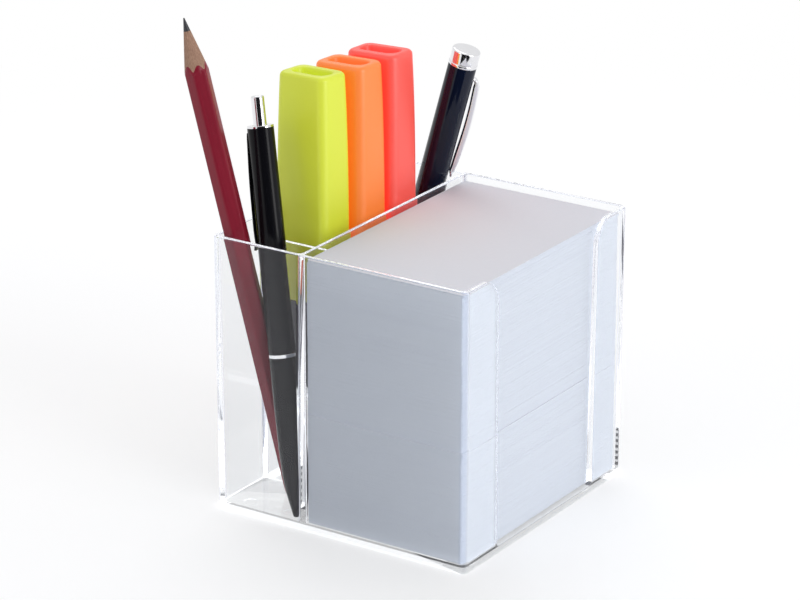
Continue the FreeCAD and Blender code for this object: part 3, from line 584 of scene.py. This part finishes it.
def ballpoint():
    """Turned barrels with eased edges, a round-edged clip strip and a domed button."""
    gloss, chrome = "black_gloss", "bright_chrome"
    z0, z1 = BALL_RING_Z, BALL_RING_Z + BALL_RING_T
    nose = eased(((1.55, 0.0), (1.75, 0.6), (3.15, 7.6), (3.78, 13.0), (4.15, 20.0), (BALL_R, 36.0),
                  (BALL_R, z0)), (0.5, 2.6, 3.0, 4.0, 4.0), 7)
    bore = np.array(((BALL_BORE, z0), (BALL_BORE, z0 - 8.0), (2.5, z0 - 9.0), (2.5, 10.0),
                     (1.5, 10.0), (1.5, 5.0), (0.85, 4.4), (0.85, 0.0)))
    skin("ballpoint_grip", lathe(np.vstack((nose, bore))), gloss, "ballpoint", BALLPOINT_PLACE,
         loop=True, instead=("ballpoint_lower_barrel",))
    ring = eased(((BALL_BORE, z0), (BALL_R + 0.08, z0), (BALL_R + 0.08, z1), (BALL_BORE, z1)),
                 0.12, 4, closed=True)
    skin("ballpoint_band", lathe(ring), chrome, "ballpoint", BALLPOINT_PLACE, loop=True,
         instead=("ballpoint_ring",))
    tube = eased(((BALL_BORE, z1), (BALL_R, z1), (BALL_R - 0.1, BALL_TOP),
                  (BALL_BUTTON_HOLE, BALL_TOP), (BALL_BUTTON_HOLE, BALL_TOP - BALL_PLATE_T),
                  (BALL_BORE, BALL_TOP - BALL_PLATE_T)), 0.1, 3, closed=True)
    skin("ballpoint_shaft", lathe(tube), gloss, "ballpoint", BALLPOINT_PLACE, loop=True,
         instead=("ballpoint_upper_barrel",))
    top = BALL_TOP + BALL_COLLAR_T
    collar = eased(((BALL_BUTTON_HOLE, BALL_TOP), (BALL_R - 0.1, BALL_TOP), (BALL_R - 0.12, top),
                    (BALL_BUTTON_HOLE, top)), (0.05, 0.1, 0.25, 0.2), 4, closed=True)
    skin("ballpoint_cap_ring", lathe(collar), chrome, "ballpoint", BALLPOINT_PLACE, loop=True,
         instead=("ballpoint_collar",))
    path = eased(((BALL_R - 0.9, 122.3), (BALL_R - 0.4, 122.3), (BALL_R - 0.25, 121.0),
                  (BALL_R + 0.5, 107.0), (BALL_R + 0.7, 91.0), (BALL_R + 0.5, 86.8),
                  (BALL_R + 0.85, 85.6)), (0.2, 0.5, 6.0, 2.0, 1.0), 9)
    s = np.linspace(0, 1, len(path))
    skin("ballpoint_pocket_clip", strip(path, 3.4 - 0.9 * s ** 6, 0.9 - 0.1 * s ** 4), gloss,
         "ballpoint", BALLPOINT_PLACE, instead=("ballpoint_clip",), sharp=60.0)
    head = BALL_TOP - BALL_PLATE_T - BALL_FLANGE_PLAY
    foot = head - BALL_FLANGE_T
    r, tip = BALL_BUTTON_R, BALL_BUTTON_TOP
    button = eased(((0.02, foot), (BALL_FLANGE_R, foot), (BALL_FLANGE_R, head), (r, head),
                    (r, tip - 0.6), (r - 0.2, tip - 0.1), (0.9, tip), (0.02, tip)),
                   (0.1, 0.1, 0.1, 0.25, 0.2, 0.3), 5)
    skin("ballpoint_press", lathe(button, 72), chrome, "ballpoint_button", BALLPOINT_PLACE,
         instead=("ballpoint_button",))


ballpoint()

# ---- highlighters ------------------------------------------------------------------------
LIGHT_L = 102.5
CAP_L = 29.0
LIGHT_R = 2.8
SLOT = (11.6, 5.2)
MOUTH = (13.4, 6.6)
SLOT_DEEP = 5.0
CAVITY_TOP = LIGHT_L - SLOT_DEEP - 2.0
WALL = 1.3


def barrel_size(z):
    """Width and depth of the tapering barrel: they shrink with the 3.6th power of the height."""
    fall = ((np.asarray(z, float) - CAP_L) / (LIGHT_L - CAP_L)) ** 3.6
    return 20.2 - 1.6 * fall, 14.7 - 1.5 * fall


def highlighter(colour, plastic, place):
    """Barrel: one skin from the hollow's ceiling down its wall, out round the lower edge, up
    the tapering outside, over a rounded rim and down into the end slot.  Cap: likewise."""
    inside_z = np.linspace(CAVITY_TOP, CAP_L + 0.1, 12)
    w, d = barrel_size(inside_z)
    inside = oblongs(w - 2 * WALL, d - 2 * WALL, LIGHT_R - WALL, inside_z)
    lower = oblongs((17.7, 19.9, 20.15), (12.2, 14.4, 14.65), (1.5, 2.65, 2.78),
                    (CAP_L, CAP_L, CAP_L + 0.12))
    outside_z = np.linspace(CAP_L + 0.3, LIGHT_L - 1.5, 60)
    w, d = barrel_size(outside_z)
    outside = oblongs(w, d, LIGHT_R + 0.35 * ((outside_z - CAP_L) / 73.0) ** 2, outside_z)
    turn = np.linspace(0, math.pi / 2, 9)[1:]
    rim_r = 1.5
    w, d = barrel_size(LIGHT_L - rim_r + rim_r * np.sin(turn))
    inset = rim_r * (1 - np.cos(turn))
    rim = oblongs(w - 2 * inset, d - 2 * inset, LIGHT_R + 0.35 - 0.75 * inset,
                  LIGHT_L - rim_r + rim_r * np.sin(turn))
    turn = np.linspace(0, math.pi / 2, 7)
    lip = 0.9
    drop = lip * (1 - np.cos(turn))
    out = lip * (1 - np.sin(turn))
    mouth = oblongs(MOUTH[0] + 2 * out, MOUTH[1] + 2 * out, 2.6 + out, LIGHT_L - drop)
    slot_z = np.linspace(LIGHT_L - lip - 0.3, LIGHT_L - SLOT_DEEP + 0.5, 5)
    share = np.linspace(0.1, 1, 5)
    slot = oblongs(MOUTH[0] + (SLOT[0] - MOUTH[0]) * share, MOUTH[1] + (SLOT[1] - MOUTH[1]) * share,
                   2.5 - 0.4 * share, slot_z)
    floor = oblongs((SLOT[0] - 0.4, SLOT[0] - 1.4), (SLOT[1] - 0.4, SLOT[1] - 1.4), (1.9, 1.4),
                    (LIGHT_L - SLOT_DEEP + 0.1, LIGHT_L - SLOT_DEEP))
    rings = np.vstack((inside, lower, outside, rim, mouth, slot, floor))
    skin(colour + "_barrel", rings, plastic + "_plastic", colour + "_highlighter", place,
         instead=(colour + "_body",), sharp=40.0)
    t = np.linspace(0, 1, 24)
    end = oblongs((15.0, 16.6, 17.45, 17.8), (9.8, 11.4, 12.25, 12.6), (1.6, 2.2, 2.6, 2.8),
                  (0.0, 0.06, 0.35, 0.95))
    z = 1.2 + (CAP_L - 0.25 - 1.2) * t
    wall = oblongs(17.85 + 2.55 * t, 12.65 + 2.25 * t, 2.8, z)
    brim = oblongs((20.3, 20.1, 18.2, 18.0), (14.8, 14.6, 12.7, 12.5), (2.75, 2.65, 1.7, 1.6),
                   (CAP_L - 0.08, CAP_L - 0.01, CAP_L - 0.01, CAP_L - 0.1))
    t = np.linspace(1, 0, 12)
    hollow = oblongs(15.45 + 2.5 * t, 10.25 + 2.2 * t, 1.6, 1.3 + (CAP_L - 1.6) * t)
    hollow_end = oblongs((14.6,), (9.4,), (1.3,), (1.2,))
    skin(colour + "_cover", np.vstack((end, wall, brim, hollow, hollow_end)),
         "black_satin", colour + "_cap", place, instead=(colour + "_cap",), sharp=40.0)


for colour, plastic, place in HIGHLIGHTERS:
    highlighter(colour, plastic, place)

# ---- twist ballpoint ---------------------------------------------------------------------
TWIST_R = 4.65
TWIST_BORE = 3.55
TWIST_L = 104.9
TWIST_SPLIT = 46.0
TWIST_RING_T = 1.4
TWIST_CROWN_L = 5.4


def twistpen():
    """Turned barrels and crown with eased edges, and a bowed sprung clip."""
    gloss, chrome = "navy_gloss", "bright_chrome"
    foot = TWIST_SPLIT - 0.3
    nose = eased(((1.5, 0.0), (1.8, 0.8), (3.1, 7.0), (4.2, 13.0), (4.6, 18.0), (TWIST_R, 30.0),
                  (TWIST_R, foot)), (0.15, 1.5, 3.0, 3.0, 5.0), 7)
    bore = np.array(((TWIST_BORE, foot), (TWIST_BORE, 22.0), (1.5, 12.0), (1.5, 7.0), (0.8, 6.0),
                     (0.8, 0.0)))
    skin("twistpen_grip", lathe(np.vstack((nose, bore))), gloss, "twistpen_lower", TWISTPEN_PLACE,
         loop=True, instead=("twistpen_lower_barrel",))
    z0, z1 = TWIST_SPLIT, TWIST_SPLIT + TWIST_RING_T
    ring = eased(((TWIST_BORE, z0), (TWIST_R + 0.1, z0), (TWIST_R + 0.1, z1), (TWIST_BORE, z1)),
                 0.2, 4, closed=True)
    skin("twistpen_band", lathe(ring), chrome, "twistpen", TWISTPEN_PLACE, loop=True,
         instead=("twistpen_ring",))
    top = TWIST_L - TWIST_CROWN_L
    tube = eased(((TWIST_BORE, z1), (TWIST_R, z1), (TWIST_R, top), (TWIST_BORE, top)), 0.08, 3,
                 closed=True)
    skin("twistpen_shaft", lathe(tube), gloss, "twistpen", TWISTPEN_PLACE, loop=True,
         instead=("twistpen_upper_barrel",))
    r = TWIST_R
    crown = eased(((0.02, top - 6.0), (3.15, top - 6.0), (TWIST_BORE - 0.02, top - 5.0),
                   (TWIST_BORE - 0.02, top), (r + 0.12, top), (r + 0.12, top + 0.8),
                   (r - 0.08, top + 0.95), (r - 0.08, top + 1.15), (r, top + 1.25),
                   (r, TWIST_L - 0.35), (r - 0.35, TWIST_L), (0.02, TWIST_L)),
                  (0.1, 0.3, 0.05, 0.1, 0.2, 0.06, 0.06, 0.06, 0.2, 0.2), 4)
    skin("twistpen_top", lathe(crown), chrome, "twistpen", TWISTPEN_PLACE,
         instead=("twistpen_crown",))
    path = eased(((r - 0.5, 94.9), (r + 0.7, 95.2), (r + 1.45, 93.6), (r + 2.1, 80.0),
                  (r + 1.3, 65.5), (r + 0.8, 61.6), (r + 0.95, 60.3)),
                 (0.8, 1.4, 10.0, 2.5, 1.2), 9)
    s = np.linspace(0, 1, len(path))
    deep = 0.8 + 1.5 * np.sin(np.pi * np.clip(s * 1.1 - 0.1, 0, 1))
    skin("twistpen_pocket_clip", strip(path, 3.2 - 0.8 * s ** 5, deep), chrome, "twistpen",
         TWISTPEN_PLACE, instead=("twistpen_clip",), sharp=60.0)


twistpen()

# ---- pieces that keep their CAD mesh -----------------------------------------------------
SLOT_OF = {part["node"]: part["material_slot"] for part in frame["record"]["subparts"]}
for name, node in frame["nodes"].items():
    if node.hide_render:
        continue
    for holder_slot in node.material_slots:
        holder_slot.material = FINISHES[SLOT_OF[name]]

# ---- stage, light and camera -------------------------------------------------------------
WHITE = (1.0, 1.0, 1.0)
PLAIN_LIGHT = 0.52       # strength of the even room light on the object
# name, place, point it faces, side and power
LAMPS = (
    ("key", (1.5, -0.16, 0.45), (0.0, 0.0, 0.05), 0.8, 8.0),
    ("top", (-0.5, 0.62, 1.2), (0.0, 0.0, 0.0), 0.9, 4.4),
    ("fill", (-0.4, -1.3, 0.5), (0.0, 0.0, 0.05), 0.5, 1.2),
)
FLOOR_HALF = 3.0
FLOOR_LIFT = 0.31        # glow of the floor near the object
FLOOR_WHITE = 0.12       # share of plain white in the floor's look near the object
NEAR_R, FAR_R = 0.18, 0.50       # the floor turns plain white between these distances
GLOSS_SHARE = 0.65       # share of that white which shows in gloss
# The dark card is a painted reflection, seen in gloss alone.
# The card faces the object: its way from the middle of the floor, distance, half width, heights.
CARD_WAY = (0.543, -0.840)
CARD_AWAY, CARD_HALF = 0.16, 0.13
CARD_Z = (0.001, 0.28)
VIEW_AT = (0.580675, -0.897909, 0.46888)
VIEW_TURN = (69.3343, -0.0829, 33.2923)
VIEW_LENS = 162.0


def seen_rays(s):
    """1 for what is seen directly, in gloss or through the clear walls, and 0 for the light
    that reaches a matt surface, also through those walls."""
    seen = s.ray("Is Camera Ray").most(s.ray("Is Transmission Ray"))
    seen = seen.most(s.ray("Is Glossy Ray") * GLOSS_SHARE)
    return seen * (1 - s.ray("Diffuse Depth").above(0.5))


def sheet_object(name, corners, material):
    """A flat four-cornered piece of the stage."""
    mesh = bpy.data.meshes.new(name)
    mesh.from_pydata(corners, [], [(0, 1, 2, 3)])
    piece = bpy.data.objects.new(name, mesh)
    bpy.context.scene.collection.objects.link(piece)
    mesh.materials.append(material)
    return piece


def stage_floor():
    """A level pale sheet: it keeps the object's shadow near it and turns white further out."""
    material, s = finish("stage_white")
    spot = s.spot()
    cloud = s.noise(spot, 3.0)
    away = s.node("VectorMath", {"operation": "LENGTH"}, {0: spot}, out=1)
    far = s.node("MapRange", {"interpolation_type": "SMOOTHSTEP"}, {
        0: away, 1: NEAR_R, 2: FAR_R, 3: FLOOR_WHITE, 4: 1.0})
    seen = seen_rays(s)
    diffuse = s.node("BsdfDiffuse", None, {
        "Color": s.blend(cloud, (0.90, 0.90, 0.905), (0.91, 0.91, 0.915))})
    lift = s.node("Emission", None, {"Color": WHITE, "Strength": seen * FLOOR_LIFT})
    white = s.node("Emission", None, {"Color": WHITE, "Strength": 1.0})
    near = s.node("AddShader", None, {0: diffuse, 1: lift})
    s.end(s.node("MixShader", None, {0: seen * far, 1: near, 2: white}))
    h = FLOOR_HALF
    sheet_object("stage_floor", [(-h, -h, 0), (h, -h, 0), (h, h, 0), (-h, h, 0)], material)


def painted_reflection_card():
    """A dark card in front, met by gloss alone: a painted dark reflection that gives chrome and
    black plastic depth.
    """
    material, s = finish("stage_dark")
    cloud = s.noise(s.spot(), 8.0)
    s.end(s.node("BsdfDiffuse", None, {
        "Color": s.blend(cloud, (0.01, 0.01, 0.012), (0.02, 0.02, 0.022))}))
    ahead, aside = np.array(CARD_WAY), np.array((-CARD_WAY[1], CARD_WAY[0]))
    left, right = ahead * CARD_AWAY - aside * CARD_HALF, ahead * CARD_AWAY + aside * CARD_HALF
    low, high = CARD_Z
    card = sheet_object("stage_card", [(*left, low), (*right, low), (*right, high),
                                       (*left, high)], material)
    # Painted reflection: only gloss meets this dark sheet.
    card.visible_camera = card.visible_diffuse = card.visible_transmission = False
    card.visible_shadow = card.visible_volume_scatter = False


def lamp(name, at, aim, size, power):
    """A square soft lamp at a point, facing another.  Its light passes the clear walls by the
    shadow rays alone, so transmission rays don't meet it a second time."""
    light = bpy.data.lights.new(name, "AREA")
    light.shape, light.size, light.energy = "SQUARE", size, power
    lamp_object = bpy.data.objects.new(name, light)
    bpy.context.scene.collection.objects.link(lamp_object)
    x, y, z = np.array(aim) - np.array(at)
    lamp_object.location = at
    lamp_object.visible_transmission = False
    lamp_object.rotation_euler = (
        math.atan2(math.hypot(x, y), -z), 0.0, math.atan2(y, x) - math.pi / 2)


def world():
    """Even pale room light; what is seen directly, in gloss or through the clear walls is white."""
    room = bpy.data.worlds.new("room")
    bpy.context.scene.world = room
    room.use_nodes = True
    s = Sheet(room.node_tree)
    plain = s.node("Background", None, {"Color": (0.97, 0.98, 1.0), "Strength": PLAIN_LIGHT})
    white = s.node("Background", None, {"Color": WHITE, "Strength": 1.0})
    s.end(s.node("MixShader", None, {0: seen_rays(s), 1: plain, 2: white}), "OutputWorld")


def camera():
    """The view: from the front right, a little above."""
    data = bpy.data.cameras.new("view")
    data.sensor_width, data.lens, data.clip_end = 36.0, VIEW_LENS, 20.0
    view = bpy.data.objects.new("view", data)
    bpy.context.scene.collection.objects.link(view)
    view.location = VIEW_AT
    view.rotation_euler = Euler([math.radians(turn) for turn in VIEW_TURN])
    bpy.context.scene.camera = view


stage_floor()
painted_reflection_card()
for name, at, aim, size, power in LAMPS:
    lamp(name, at, aim, size, power)
world()
camera()

scene = bpy.context.scene
scene.view_settings.view_transform = "Standard"
# Rays that run inside the clear walls need many turns before they come out.
scene.cycles.max_bounces = 64
scene.cycles.transmission_bounces = 64
scene.cycles.glossy_bounces = 64
scene.cycles.transparent_max_bounces = 16
